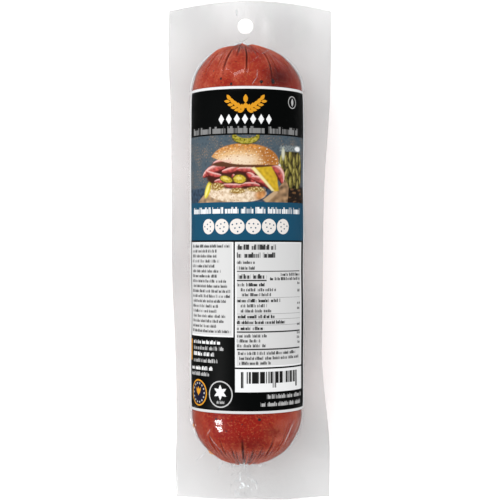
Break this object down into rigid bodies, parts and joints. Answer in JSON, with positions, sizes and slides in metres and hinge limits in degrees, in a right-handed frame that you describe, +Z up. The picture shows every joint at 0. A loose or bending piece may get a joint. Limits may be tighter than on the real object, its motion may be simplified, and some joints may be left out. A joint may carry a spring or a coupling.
{
  "type": "cured sausage",
  "caption": "Vacuum-packed salami lying on its back: a pleated sausage between clear film webs with flat margins, a hang hole and a printed label.",
  "frame": {"origin": "middle of the pack's footprint, on the surface it lies on", "axes": "+Y along the sausage, towards the end with the hang hole; +X across the pack; +Z up, out through the label"},
  "size_m": [0.083, 0.254, 0.0569],
  "materials": {
    "sausage": "satin",
    "clear_film": "gloss",
    "label_print": "satin"
  },
  "bodies": {
    "root": {"salami": "sausage", "front_film": "clear_film", "back_film": "clear_film", "printed_label": "label_print"}
  },
  "joints": []
}
